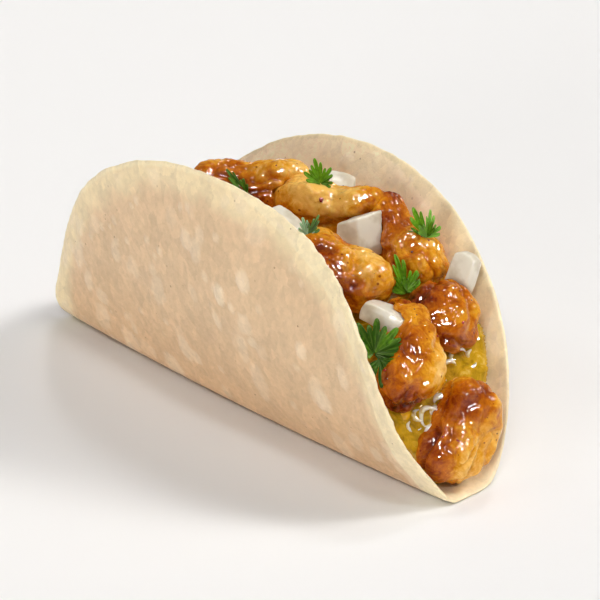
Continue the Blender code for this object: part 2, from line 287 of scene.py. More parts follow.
def makeWheatDough():
    # soft wheat flatbread baked on a griddle: a dusty skin in paler and darker flakes, cream at the rim;
    # painted shade darkens it towards the bottom, and the inside is painted brighter as bounce light
    material, tree, shader, place = newMaterial("baked_wheat_dough")
    rim, inside, blister, frontRim = (addNode(tree, "Attribute", {"attribute_name": name}).outputs["Fac"]
                                      for name in ("rimDistance", "inside", "blister", "frontRim"))
    # clouds 8 mm, mottling 1.6 mm and grain 0.5 mm across
    cloud, fine, grain = (
        addNode(tree, "TexNoise", {"Scale": 1 / (size * mm), "Detail": detail, "Roughness": rough},
                {"Vector": place})
        for size, detail, rough in ((8, 3.0, 0.55), (1.6, 4.0, 0.65), (0.5, 3.0, 0.6)))
    # flakes: warped cells 3.6 mm and 1.5 mm across, taller than wide
    squeeze = addNode(tree, "Mapping", {"Scale": (1.0, 1.0, 0.62)}, {"Vector": place})
    bend = addNode(tree, "TexNoise", {"Scale": 1 / (2.5 * mm), "Detail": 3.0}, {"Vector": place})
    bent = addNode(tree, "VectorMath", {"operation": "MULTIPLY_ADD", 1: (2.2 * mm,) * 3},
                   {0: bend.outputs["Color"], 2: squeeze})
    flake = addNode(tree, "TexVoronoi", {"Scale": 1 / (3.6 * mm)}, {"Vector": bent})
    chip = addNode(tree, "TexVoronoi", {"Scale": 1 / (1.5 * mm)}, {"Vector": bent})
    flakeTone = addNode(tree, "SeparateColor", {}, {"Color": flake.outputs["Color"]})
    chipTone = addNode(tree, "SeparateColor", {}, {"Color": chip.outputs["Color"]})
    patches = addNode(tree, "Math", {"operation": "MULTIPLY_ADD", 1: 0.12, 2: 0.945},
                      {0: flakeTone.outputs["Red"]})
    chips = addNode(tree, "Math", {"operation": "MULTIPLY_ADD", 1: 0.09, 2: 0.955},
                    {0: chipTone.outputs["Red"]})
    both = addNode(tree, "Math", {"operation": "MULTIPLY"}, {0: patches, 1: chips})
    mottle = addNode(tree, "MapRange", {"From Min": 0.3, "From Max": 0.7, "To Min": 0.93, "To Max": 1.05},
                     {"Value": fine})
    tones = addNode(tree, "Math", {"operation": "MULTIPLY"}, {0: mottle, 1: both})
    # bands that follow the rim, their border wandering by 3 mm
    wander = addNode(tree, "Math", {"operation": "MULTIPLY_ADD", 1: 8.0, 2: -4.0}, {0: cloud})
    ripple = addNode(tree, "Math", {"operation": "MULTIPLY_ADD", 1: 2.6, 2: -1.3}, {0: fine})
    edge = addNode(tree, "Math", {"operation": "ADD"}, {0: rim, 1: wander})
    rough = addNode(tree, "Math", {"operation": "ADD"}, {0: edge, 1: ripple})
    near = addNode(tree, "Math", {"operation": "ADD"}, {0: rim, 1: ripple})
    band, insideBandPaintedLight = (
        addNode(tree, "MapRange", {"From Min": width - before, "From Max": width + after, "To Min": 1.0,
                                   "To Max": 0.0, "interpolation_type": "SMOOTHSTEP"}, {"Value": rough})
        for width, before, after in ((tortilla["paleBand"], 2.5, 3.5), (tortilla["insideBandPaintedLight"], 3.0, 9.0)))
    # the cream rim colour along the rim, widened at the open tip as painted light
    reach = addNode(tree, "Math", {"operation": "SUBTRACT"}, {0: near, 1: frontRim})
    lip = addNode(tree, "MapRange", {"From Min": 0.9, "From Max": 1.6, "To Min": 1.0, "To Max": 0.0,
                                     "interpolation_type": "SMOOTHSTEP"}, {"Value": reach})
    # painted shade: the dough goes towards the darker low colour near the bottom, most at 2 mm and none
    # above 30 mm
    height = addNode(tree, "SeparateXYZ", {}, {"Vector": place})
    low = addNode(tree, "MapRange", {"From Min": 2 * mm, "From Max": 30 * mm, "To Min": 0.85,
                                     "To Max": 0.0}, {"Value": height.outputs["Z"]})
    skin = addNode(tree, "Mix", {"data_type": "RGBA", 6: linear(tortilla["dough"]),
                                 7: linear(tortilla["low"])}, {0: low})
    outer = addNode(tree, "Mix", {"data_type": "RGBA", 7: linear(tortilla["pale"])},
                    {0: band, 6: skin})
    # the inside: its own pinker dough painted brighter as bounce light, and paler in a wide band from the
    # rim as more painted light
    inner = addNode(tree, "Mix", {"data_type": "RGBA", 6: linear(tortilla["insideDoughAndBounceLight"]),
                                  7: linear(tortilla["insidePaleAndBounceLight"])}, {0: insideBandPaintedLight})
    base = addNode(tree, "Mix", {"data_type": "RGBA"}, {0: inside, 6: outer, 7: inner})
    lipped = addNode(tree, "Mix", {"data_type": "RGBA", 7: linear(tortilla["rim"])},
                     {0: lip, 6: base})
    topped = addNode(tree, "Mix", {"data_type": "RGBA", 7: linear(tortilla["blisterTop"])},
                     {0: blister, 6: lipped})
    toned = addNode(tree, "Mix", {"data_type": "RGBA", "blend_type": "MULTIPLY", 0: 1.0},
                    {6: topped, 7: tones})
    # toasted flecks, up to 0.7 mm across and 3 mm apart
    cells = addNode(tree, "TexVoronoi", {"Scale": 1 / (2.8 * mm)}, {"Vector": place})
    choose = addNode(tree, "SeparateColor", {}, {"Color": cells.outputs["Color"]})
    size = addNode(tree, "Math", {"operation": "MULTIPLY_ADD", 1: 0.24, 2: -0.11},
                   {0: choose.outputs["Red"]})
    speck = addNode(tree, "Math", {"operation": "LESS_THAN"}, {0: cells, 1: size})
    faint = addNode(tree, "Math", {"operation": "MULTIPLY"}, {0: speck, 1: choose.outputs["Green"]})
    soft = addNode(tree, "Math", {"operation": "MULTIPLY", 1: 0.6}, {0: faint})
    colour = addNode(tree, "Mix", {"data_type": "RGBA", 7: linear(tortilla["fleck"])},
                     {0: soft, 6: toned})
    relief = addNode(tree, "Math", {"operation": "MULTIPLY_ADD", 1: 0.45}, {0: grain, 2: fine})
    flaky = addNode(tree, "Math", {"operation": "MULTIPLY_ADD", 1: 0.35},
                    {0: flakeTone.outputs["Green"], 2: relief})
    bump = addNode(tree, "Bump", {"Strength": 0.45, "Distance": 0.30 * mm}, {"Height": flaky})
    shine = addNode(tree, "MapRange", {"From Min": 0.35, "From Max": 0.65, "To Min": 0.56, "To Max": 0.40},
                    {"Value": fine})
    setInputs(shader, {
        "Base Color": colour, "Normal": bump, "Roughness": shine,
        "IOR": 1.42, "Specular IOR Level": 0.2, "Subsurface Weight": 0.12,
        "Subsurface Radius": (1.0, 0.6, 0.35), "Subsurface Scale": 1.6 * mm,
    })
    return material


def makeTortilla():
    piece = copyOfNode("tortilla", "folded_tortilla")
    # the rim is where the sheet's faces turn
    mesh = bmesh.new()
    mesh.from_mesh(piece.data)
    rimPoints = []
    for edge in mesh.edges:
        if len(edge.link_faces) == 2 and edge.calc_face_angle() > math.radians(38):
            rimPoints += [edge.verts[0].co.lerp(edge.verts[1].co, k / 6) for k in range(6)]
    mesh.free()
    rimTree = treeOf(rimPoints)
    selectOnly(piece)
    setMode("EDIT")
    bpy.ops.mesh.select_all(action="SELECT")
    bpy.ops.mesh.tris_convert_to_quads(face_threshold=math.radians(60), shape_threshold=math.radians(60))
    setMode("OBJECT")
    applyModifier(piece, "SUBSURF", levels=2, render_levels=2)

    # twice as fine on the near outside and the far inside, where the blisters show
    heart = Vector((0.0, 7.0, 36.0)) * mm
    setMode("EDIT")
    bpy.ops.mesh.select_all(action="DESELECT")
    bpy.ops.mesh.select_mode(type="FACE")
    setMode("OBJECT")
    for face in piece.data.polygons:
        out = face.center - heart
        face.select = face.normal.y < -0.5 and (out.y < 0.0 or rimTree.find(face.center)[2] > 1.5 * mm)
    setMode("EDIT")
    bpy.ops.mesh.subdivide(number_cuts=1, smoothness=0.0)
    setMode("OBJECT")

    vertices = piece.data.vertices
    fromRim = [rimTree.find(v.co)[2] / mm for v in vertices]
    inside = []
    for v in vertices:
        out = v.co - heart
        out.x = 0.0
        inside.append(ease(0.15, -0.15, v.normal.dot(out.normalized())))
    vertexTree = treeOf([v.co for v in vertices])

    # air blisters: low ovals that stand on end on the sides
    draw = random.Random(tortilla["seed"])
    spots = [(Vector(spot[:3]) * mm,) + spot[3:] for spot in tortilla["clearBlisters"]]
    spots += [(Vector(spot) * mm, draw.uniform(0.8, 1.3), 1.2, 0.38, 0.35)
              for spot in tortilla["clearPuckers"]]
    for _ in range(tortilla["blisters"]):
        spots.append((vertices[draw.randrange(len(vertices))].co, draw.uniform(*tortilla["blisterSize"]),
                      draw.uniform(1.1, 1.9), tortilla["blisterRise"] * draw.uniform(0.2, 1.0) ** 2,
                      draw.uniform(0.1, 0.45)))
    for _ in range(tortilla["puckers"]):
        place = vertices[draw.randrange(len(vertices))].co
        spots.append((place, draw.uniform(*tortilla["puckerSize"]), 1.1,
                      tortilla["puckerRise"] * draw.uniform(0.4, 1.0), draw.uniform(0.0, 0.3)))
    rise = [0.0] * len(vertices)
    pale = [0.0] * len(vertices)
    for centre, radius, stretch, height, tone in spots:
        middle, nearest, _ = vertexTree.find(centre)
        facing = vertices[nearest].normal
        long = (Vector((draw.uniform(-0.35, 0.35), 0.0, 1.0)) - facing * facing.z).normalized()
        for place, index, _ in vertexTree.find_range(middle, radius * stretch * mm * 1.2):
            if vertices[index].normal.dot(facing) < 0.5 or fromRim[index] < 1.5:
                continue
            offset = (place - middle) / mm
            along = offset.dot(long) / stretch
            across = (offset - long * offset.dot(long)).length
            share = math.hypot(along, across) / radius
            share *= 1.0 + 0.22 * noise.noise(place / (1.4 * mm))
            rise[index] = max(rise[index], height * (1.0 - ease(0.35, 1.05, share)))
            pale[index] = max(pale[index], tone * (1.0 - ease(0.7, 1.0, share)))
    middle = Vector((0.0, 7.0, 22.0)) * mm
    moves = []
    frontRim = []
    for v, gap, up, within in zip(vertices, fromRim, rise, inside):
        q = v.co / mm
        low = ease(2.0, 12.0, q.z)
        sway = tortilla["sway"] * noise.noise(q / tortilla["swaySize"])
        lift = up * low + sway * ease(1.0, 5.0, gap) * low
        lift += 0.05 * noise.noise(q / 2.3) * ease(0.8, 3.0, gap) * low
        flat = Vector((q.x, 0.0, q.z))          # the two faces of the sheet fray together
        outward = Vector((v.co.x - middle.x, 0.0, v.co.z - middle.z)).normalized()
        frayed = tortilla["ragged"] * noise.noise(flat / tortilla["raggedSize"])
        frayed += 0.25 * noise.noise(flat / 6.0)
        atMouth = ease(12.0, 34.0, q.x) * ease(6.0, -2.0, q.y)
        waves = noise.noise(flat / tortilla["scallopSize"]) + 0.5 * noise.noise(flat / 1.1)
        frayed += atMouth * tortilla["scallop"] * waves
        atRim = 1.0 - ease(0.0, tortilla["raggedReach"], gap)
        moves.append(v.normal * lift * mm + outward * frayed * atRim * mm)
        farSide = ease(4.0, 12.0, q.y)
        nearBand = tortilla["nearBand"] * ease(5.0, 35.0, q.x) * ease(10.0, -2.0, q.y)
        farBand = tortilla["farBand"] * ease(0.0, 45.0, q.x) * farSide * within
        # at the open tip the cream rim is widened as painted light where the lip lies in shade
        tipBandAndPaintedLight = tortilla["tipBandAndPaintedLight"] * ease(52.0, 66.0, q.x) * (1.0 - 0.8 * farSide * (1.0 - within))
        frontRim.append(-0.3 + max(nearBand, farBand, tipBandAndPaintedLight))
    for v, move in zip(vertices, moves):
        v.co += move
        v.co.z = max(v.co.z, 0.0)
    piece.data.update()
    writeAttribute(piece, "rimDistance", fromRim)
    writeAttribute(piece, "inside", inside)
    writeAttribute(piece, "blister", pale)
    writeAttribute(piece, "frontRim", frontRim)
    finishPiece(piece, makeWheatDough(), "tortilla", "tortilla")
    return piece


sheet = makeTortilla()
print("tortilla made,", sum(len(face.vertices) - 2 for face in sheet.data.polygons), "triangles")


# chicken strips: lumpy muscle under a wet orange glaze
chicken = {
    "grid": 0.28, "coarseGrid": 0.45, "smoothing": 22, "swell": 0.75,             # mm, passes, mm
    "bulk": (1.3, 8.5), "lump": (0.65, 3.8),                  # height and size in mm
    "crease": (1.15, 6.5), "wrinkle": (0.22, 3.0), "bead": (0.42, 1.4),
    "tone": 0.38, "wetness": 0.55,            # 0 is pale meat and 1 is charred, share that is beaded
    # places in mm that stand out (+) or are pressed in (-): (x, y, z, radius, height)
    "swellings": [
        (70, 11, 23, 5, 2.0), (73, 6, 17, 5, -1.0), (68, 2, 20, 2.5, -0.4), (69, 1, 14, 2.5, -0.3),
        (66, 6, 25, 4, 1.0), (62, -3, 12, 4, 0.8), (14, 15, 56, 5, 1.2), (16, 20, 53, 5, 1.0),
        (20, 24, 54, 4, 1.0), (30, 21, 52, 4, 0.8), (-20, 3, 55, 5, 0.8), (-5, 14, 57, 5, 0.6),
        (16, 12, 50, 5, 2.6), (9, 9, 50, 4, 0.8), (10, 14, 54.5, 2.4, -2.0), (4.5, 13, 54, 3.5, 1.2),
        (17, 27.5, 54, 1.6, 1.6), (38, 7, 49, 5, 2.0), (32, 9, 50, 4, 1.2),
    ],
    # places in mm where the glaze has boiled into beads: (x, y, z, radius, amount)
    "beaded": [
        (36, 6, 50, 7, 1.0), (33, -2, 52, 5, 0.6), (70, 6, 20, 6, 1.0), (71, 2, 13, 4, 0.8),
        (60, 6, 30, 5, 0.8), (8, 14, 56, 9, 0.9), (16, 20, 54, 6, 0.9), (-4, 17, 56, 7, 0.8),
        (-20, 3, 56, 7, 0.6), (30, 24, 50, 7, 0.5), (54, 20, 38, 6, 0.6), (47, 12, 40, 4, 0.4),
    ],
    "meat": "#F0BC5E", "golden": "#D8941E", "orange": "#B86408", "brown": "#823206", "char": "#4A1204",
    "chilli": "#6E1206",
    # places in mm that are browner (+) or paler (-): (x, y, z, radius, amount)
    "brownedAndCreaseShade": [
        (44, 12, 40, 7, 0.42), (50, 10, 36, 5, 0.28), (17, 27.5, 54, 2.2, 0.15), (17, 26, 53, 5, 0.10),
        (26, 17, 47, 6, 0.15), (65, 3, 21, 6, 0.24), (66, -2, 13, 5, 0.32), (68, -4, 9, 4, 0.28),
        (57, -3, 37, 4, 0.25), (28, -7, 50, 5, 0.32), (36, -7, 43, 6, 0.34), (-8, 4, 49, 5, 0.40),
        (-18, 2, 53, 5, 0.25), (60, -8, 28, 5, 0.12), (-60, -3, 12, 7, 0.4), (-50, -6, 36, 6, 0.4),
        (-40, 20, 40, 6, 0.3), (72, 4, 10, 6, -0.22), (71, 10, 18, 6, -0.16), (69, 7, 23, 5, 0.25),
        (63, 3, 34, 5, -0.30), (33, 3, 51, 6, -0.25), (-4, 17, 56, 6, -0.38), (38, 5, 49, 6, -0.20),
        (8, 14, 55, 8, -0.46), (59, -7, 25, 6, 0.36), (20, 26, 52, 5, 0.20), (24, 22, 51, 5, 0.15),
        (-66, 8, 18, 7, -0.25), (36, 23, 48, 6, -0.18), (60, 1, 29, 5, -0.15), (44, -9, 27, 6, 0.22),
        (55, 14, 33, 5, 0.15), (2, 15, 56, 6, -0.10),
    ],
}


def makeGlaze():
    # braised chicken in a thin orange chilli glaze: deep golden meat seen through a wet clear coat
    material, tree, shader, place = newMaterial("chilli_glazed_chicken")
    # the browning attribute also holds painted shade in the creases and wrinkles
    brownedAndCreaseShade = addNode(tree, "Attribute", {"attribute_name": "brownedAndCreaseShade"}).outputs["Fac"]
    patch = addNode(tree, "TexNoise", {"Scale": 1 / (3.2 * mm), "Detail": 5.0, "Roughness": 0.62,
                                       "Distortion": 0.8}, {"Vector": place})
    pore = addNode(tree, "TexNoise", {"Scale": 1 / (0.8 * mm), "Detail": 3.0, "Roughness": 0.6},
                   {"Vector": place})
    drift = addNode(tree, "Math", {"operation": "MULTIPLY_ADD", 1: 0.9, 2: -0.45}, {0: patch})
    tone = addNode(tree, "Math", {"operation": "ADD"}, {0: brownedAndCreaseShade, 1: drift})
    fine = addNode(tree, "Math", {"operation": "MULTIPLY_ADD", 1: 0.30}, {0: pore, 2: tone})
    whole = addNode(tree, "Math", {"operation": "SUBTRACT", 1: 0.15}, {0: fine})
    ramp = addNode(tree, "ValToRGB", {}, {"Fac": whole},
                   [(0.10, chicken["meat"]), (0.34, chicken["golden"]), (0.54, chicken["orange"]),
                    (0.80, chicken["brown"]), (1.0, chicken["char"])])
    # chilli flakes and scorched grains, about 0.5 mm across
    cells = addNode(tree, "TexVoronoi", {"Scale": 1 / (2.0 * mm)}, {"Vector": place})
    choose = addNode(tree, "SeparateColor", {}, {"Color": cells.outputs["Color"]})
    size = addNode(tree, "Math", {"operation": "MULTIPLY_ADD", 1: 0.32, 2: -0.14},
                   {0: choose.outputs["Red"]})
    flake = addNode(tree, "Math", {"operation": "LESS_THAN"}, {0: cells, 1: size})
    faint = addNode(tree, "Math", {"operation": "MULTIPLY", 1: 0.75}, {0: flake})
    colour = addNode(tree, "Mix", {"data_type": "RGBA", 7: linear(chicken["chilli"])},
                     {0: faint, 6: ramp.outputs["Color"]})
    bead = addNode(tree, "TexVoronoi", {"feature": "SMOOTH_F1", "Scale": 1 / (1.0 * mm), "Smoothness": 0.5},
                   {"Vector": place})
    relief = addNode(tree, "Math", {"operation": "MULTIPLY_ADD", 1: -0.7}, {0: bead, 2: pore})
    bump = addNode(tree, "Bump", {"Strength": 0.5, "Distance": 0.3 * mm}, {"Height": relief})
    # the same droplets, 1 mm across, break up the coat's highlights where the glaze is beaded
    beads = addNode(tree, "Attribute", {"attribute_name": "wetBeads"}).outputs["Fac"]
    hollow = addNode(tree, "Math", {"operation": "MULTIPLY", 1: -1.0}, {0: bead})
    broken = addNode(tree, "Math", {"operation": "MULTIPLY", 1: 0.3}, {0: beads})
    coatBump = addNode(tree, "Bump", {"Distance": 0.22 * mm}, {"Height": hollow, "Strength": broken})
    setInputs(shader, {
        "Base Color": colour, "Normal": bump, "Coat Normal": coatBump,
        "Roughness": 0.5, "Specular IOR Level": 0.0, "Coat Weight": 1.0, "Coat Roughness": 0.03,
        "Coat IOR": 1.43, "Subsurface Weight": 0.2, "Subsurface Radius": (1.0, 0.35, 0.1),
        "Subsurface Scale": 1.5 * mm,
    })
    return material


def valley(value, width):
    return math.exp(-(value / width) ** 2)


def addSpots(value, q, spots):
    # each spot adds its amount to the value, less with distance
    for x, y, z, radius, amount in spots:
        value += amount * math.exp(-(q - Vector((x, y, z))).length_squared / radius ** 2)
    return value


def makeStrip(piece, material, seed, grid, *nodeNames):
    evenOut(piece, grid, 0.8, chicken["smoothing"])
    # muscle fibres run along the strip: its longest axis
    centre = sum((v.co for v in piece.data.vertices), Vector()) / len(piece.data.vertices)
    along = Vector((1.0, 0.3, 0.1))
    for _ in range(12):
        step = Vector()
        for v in list(piece.data.vertices)[::9]:
            step += (v.co - centre) * (v.co - centre).dot(along)
        along = step.normalized()
    shift = Vector((seed * 17.3, seed * -9.1, seed * 4.7))
    spots = [(v.co / mm, v.normal.copy()) for v in piece.data.vertices]
    moved = []
    tones = []
    wet = []
    for q, normal in spots:
        warped = q + shift + noise.noise_vector((q - shift) / 4.0) * 1.6
        flow = warped - along * warped.dot(along) * 0.7       # stretched along the fibres
        bulk = chicken["bulk"][0] * noise.noise((q + shift) / chicken["bulk"][1])
        lump = chicken["lump"][0] * noise.noise(warped / chicken["lump"][1])
        crease = valley(noise.noise(flow / chicken["crease"][1]), 0.17)
        wrinkle = valley(noise.noise((flow - shift) / chicken["wrinkle"][1]), 0.14)
        beaded = chicken["wetness"] * ease(-0.05, 0.30, noise.noise((q - shift) / 7.0))
        beaded = min(addSpots(beaded, q, chicken["beaded"]), 1.0)
        wet.append(beaded)
        cell = noise.voronoi((q + noise.noise_vector(q / 1.5) * 0.5) / chicken["bead"][1])[0][0]
        bead = chicken["bead"][0] * beaded * (0.4 - cell)
        height = chicken["swell"] + bulk + lump + bead
        height -= chicken["crease"][0] * crease + chicken["wrinkle"][0] * wrinkle
        moved.append(addSpots(height, q, chicken["swellings"]))
        # painted shade: the tone rises in the creases and wrinkles
        tone = chicken["tone"] + 0.20 * noise.noise((q + shift) / 6.0) + 0.12 * crease + 0.05 * wrinkle
        tones.append(addSpots(tone, q, chicken["brownedAndCreaseShade"]))
    for v, (q, normal), height in zip(piece.data.vertices, spots, moved):
        v.co += normal * height * mm
    piece.data.update()
    applyModifier(piece, "SMOOTH", factor=0.5, iterations=2)
    writeAttribute(piece, "brownedAndCreaseShade", tones)
    writeAttribute(piece, "wetBeads", wet)
    finishPiece(piece, material, "chicken", *nodeNames)
    return piece


glaze = makeGlaze()
strips = []
for k, name in enumerate(sorted(frame["nodes"])):
    if name.startswith("chicken"):
        strip = copyOfNode(name, "meat_" + name.removeprefix("chicken_"))
        strips.append(makeStrip(strip, glaze, k, chicken["grid"], name))
# lumps that the upper strips lie on: middle and half sizes in mm, degrees of turn
lumps = {
    "left": ((-31.0, 8.0, 36.5), (9.0, 8.5, 6.5), 10),
    "leftLow": ((-33.0, 21.0, 36.5), (8.0, 4.5, 5.5), -10),
    "leftFront": ((-22.0, -6.0, 37.5), (9.0, 6.0, 6.0), 15),
    "mid": ((-13.0, 6.0, 38.5), (9.0, 8.0, 7.0), -20),
    "midFar": ((-12.0, 20.0, 37.5), (10.0, 5.5, 7.0), 5),
    "centre": ((3.0, 2.0, 38.5), (8.0, 8.0, 8.0), 30),
    "centreFar": ((5.0, 18.0, 38.0), (9.0, 6.0, 8.0), 0),
    "right": ((21.0, 9.5, 37.0), (9.0, 7.5, 6.5), -15),
}
for k, (name, (middle, halves, turned)) in enumerate(lumps.items()):
    bpy.ops.object.select_all(action="DESELECT")
    bpy.ops.mesh.primitive_ico_sphere_add(subdivisions=4, radius=1.0)
    lump = bpy.context.object
    lump.name = "meat_under_" + name
    stretch = Matrix.Diagonal([half * mm for half in halves] + [1.0])
    spin = Matrix.Rotation(math.radians(turned), 4, "Z")
    lump.data.transform(Matrix.Translation(Vector(middle) * mm) @ spin @ stretch)
    strips.append(makeStrip(lump, glaze, 20 + k, chicken["coarseGrid"]))
print("chicken made,", sum(len(s.data.polygons) for s in strips), "faces")


# salsa: a wet uneven layer
salsa = {
    "grid": 0.5, "smoothing": 10, "swell": 0.5,                  # mm, passes, mm
    "lump": (1.3, 7.0), "pulp": (0.14, 2.6), "pool": 1.4,
    "olive": "#8C6C06", "green": "#B89010", "yellow": "#CCA01E", "light": "#DEC05A",
}


def makeSalsaPulp():
    # tomatillo salsa: translucent yellow-green pulp under a film of its own juice, very shiny
    material, tree, shader, place = newMaterial("tomatillo_pulp")
    patch = addNode(tree, "TexNoise", {"Scale": 1 / (3.5 * mm), "Detail": 4.0, "Roughness": 0.65,
                                       "Distortion": 1.0}, {"Vector": place})
    ramp = addNode(tree, "ValToRGB", {}, {"Fac": patch},
                   [(0.30, salsa["olive"]), (0.47, salsa["green"]), (0.60, salsa["yellow"]),
                    (0.75, salsa["light"])])
    ripple = addNode(tree, "TexNoise", {"Scale": 1 / (2.2 * mm), "Detail": 1.0, "Distortion": 1.2},
                     {"Vector": place})
    bump = addNode(tree, "Bump", {"Strength": 0.35, "Distance": 0.3 * mm}, {"Height": ripple})
    setInputs(shader, {
        "Base Color": ramp, "Normal": bump,
        "Roughness": 0.5, "Specular IOR Level": 0.0, "Coat Weight": 1.0, "Coat Roughness": 0.02,
        "Coat IOR": 1.6, "Subsurface Weight": 0.5, "Subsurface Radius": (1.0, 0.8, 0.2),
        "Subsurface Scale": 2.5 * mm,
    })
    return material


pulp = makeSalsaPulp()
bed = copyOfNode("salsa", "salsa_bed")
evenOut(bed, salsa["grid"], 0.8, salsa["smoothing"])


def salsaRelief(q, normal):
    top = ease(0.1, 0.6, normal.z)      # only the open top is uneven
    warped = q + noise.noise_vector(q / 5.0) * 2.0
    lump = salsa["lump"][0] * noise.noise(warped / salsa["lump"][1])
    pulpBit = salsa["pulp"][0] * (0.5 - abs(noise.noise(warped / salsa["pulp"][1])) * 3.0)
    pool = salsa["pool"] * ease(30.0, 50.0, q.x)
    return salsa["swell"] + top * (lump + pulpBit + pool)


push(bed, salsaRelief)
finishPiece(bed, pulp, "salsa", "salsa")
print("salsa made,", len(bed.data.polygons), "faces")


# folded tomatillo skins that lie in the salsa: bent ribbons coloured near white, painted highlight lines on
# the wet salsa
skins = {
    "width": 0.42, "across": 10, "steps": 36,      # half width in mm, points round and along
    # the near-white flesh colour is a painted highlight
    "flesh": "#FFFBE2",
    "facing": (0.70, -0.35, 0.62), "drop": 8.0, "lift": 0.25,     # they fall on the salsa, and mm above it
    # middle in mm, radius of the bend, degrees it starts at and turns through, tilt of its plane
    "folds": [
        ((59.9, 1.0, 17.4), 2.4, 20, 250, 25), ((60.8, -1.2, 15.6), 2.2, 190, 170, 40),
        ((59.0, -1.6, 18.6), 1.5, 80, 200, -20), ((59.6, -3.6, 17.0), 1.7, 140, 190, 50),
        ((61.6, 0.6, 14.0), 2.0, 60, 200, 10), ((58.9, 5.4, 20.4), 1.6, 0, 220, 60),
        ((54.0, 15.8, 27.0), 2.0, 30, 210, 40), ((54.7, 20.0, 26.6), 1.6, 120, 190, 60),
        ((54.9, 12.2, 25.6), 1.4, 10, 200, 20), ((55.6, 17.6, 25.4), 1.7, 200, 150, 30),
        ((47.0, -9.4, 24.5), 1.8, 60, 170, 10),
        ((57.6, 9.0, 22.6), 1.5, 90, 220, 0), ((60.2, 2.6, 18.6), 1.2, 0, 240, 30),
    ],
}


def makeSkinFlesh():
    # tomatillo skin: pale jelly coloured from the salsa's light tone to near white as painted highlight
    # lines, under a wet clear coat
    material, tree, shader, place = newMaterial("tomatillo_skin_painted_highlight")
    cloud = addNode(tree, "TexNoise", {"Scale": 1 / (1.6 * mm), "Detail": 2.0}, {"Vector": place})
    tone = addNode(tree, "ValToRGB", {}, {"Fac": cloud}, [(0.30, salsa["light"]), (0.50, skins["flesh"])])
    bump = addNode(tree, "Bump", {"Strength": 0.6, "Distance": 0.3 * mm}, {"Height": cloud})
    setInputs(shader, {
        "Base Color": tone, "Normal": bump,
        "Roughness": 0.06, "Specular IOR Level": 1.0, "Coat Weight": 1.0, "Coat Roughness": 0.03,
        "Coat IOR": 1.8, "Transmission Weight": 0.1, "Subsurface Weight": 0.5,
        "Subsurface Radius": (1.0, 0.9, 0.3), "Subsurface Scale": 2.0 * mm,
    })
    return material


salsaTop = BVHTree.FromObject(bed, bpy.context.evaluated_depsgraph_get())


def makeFold(spec, number):
    middle, radius, start, sweep, tilt = spec
    bpy.ops.mesh.primitive_cylinder_add(vertices=skins["across"], radius=1.0, depth=2.0)
    fold = bpy.context.object
    fold.name = "skin_fold_" + str(number)
    setMode("EDIT")
    bpy.ops.mesh.select_all(action="DESELECT")
    setMode("OBJECT")
    for edge in fold.data.edges:
        low, high = (fold.data.vertices[k].co.z for k in edge.vertices)
        edge.select = abs(low - high) > 1.0
    setMode("EDIT")
    bpy.ops.mesh.subdivide_edgering(number_cuts=skins["steps"], smoothness=0.0)
    setMode("OBJECT")
    facing = Vector(skins["facing"]).normalized()
    above = Vector(middle) * mm + facing * skins["drop"] * mm
    touch = salsaTop.ray_cast(above, -facing)[0]
    middle = (touch or above - facing * skins["drop"] * mm) / mm + facing * skins["lift"]
    level = Vector((0.0, 0.0, 1.0)).cross(facing).normalized()
    rise = facing.cross(level)
    rise = Matrix.Rotation(math.radians(tilt), 3, level) @ rise
    for v in fold.data.vertices:
        share = (v.co.z + 1.0) / 2.0
        angle = math.radians(start + sweep * share)
        wobble = 1.0 + 0.22 * noise.noise(Vector((number * 5.0, share * 3.5, 0.0)))
        girth = skins["width"] * (0.35 + 1.1 * math.sin(math.pi * min(max(share, 0.02), 0.98))) * wobble
        outward = level * math.cos(angle) + rise * math.sin(angle)
        over = outward.cross(level.cross(rise)).normalized()
        point = Vector(middle) + outward * (radius * wobble + v.co.x * girth)
        point += level.cross(rise) * v.co.y * girth * 1.5
        point += over * 0.2 * noise.noise(point / 0.9)
        v.co = point * mm
    cleanMesh(fold)
    applyModifier(fold, "SUBSURF", levels=1, render_levels=1)
    return fold


def joinPieces(pieces, name):
    selectOnly(pieces[0])
    for piece in pieces[1:]:
        piece.select_set(True)
    bpy.ops.object.join()
    joined = bpy.context.object
    joined.name = name
    return joined


folds = joinPieces([makeFold(spec, k) for k, spec in enumerate(skins["folds"])], "salsa_skins_painted_highlight")
finishPiece(folds, makeSkinFlesh(), "salsa")
print("tomatillo skins made,", len(folds.data.polygons), "faces")


# onion dice with soft cut corners
onion = {
    "grid": 0.3, "smoothing": 4, "wedgeSmoothing": 2, "swell": 0.12,     # mm, passes, passes, mm
    "flesh": "#DFDACC", "core": "#C6BDAA", "stain": "#C9A06A",
    "stainShare": 0.55, "stainHeight": 3.0,                   # at the foot, and mm that glaze creeps up
    # the open dice: a wedge with two clear facets, corners in mm
    "wedge": [
        (21.9, 12.0, 53.5), (22.4, 19.3, 53.9), (24.2, 17.9, 46.0), (23.9, 10.7, 46.4), (17.9, 9.1, 51.7),
        (18.7, 8.2, 47.2), (23.5, 10.6, 43.4), (18.0, 8.6, 43.4), (24.0, 18.0, 43.2), (14.0, 18.0, 44.0),
        (14.5, 18.5, 50.0),
    ],
}


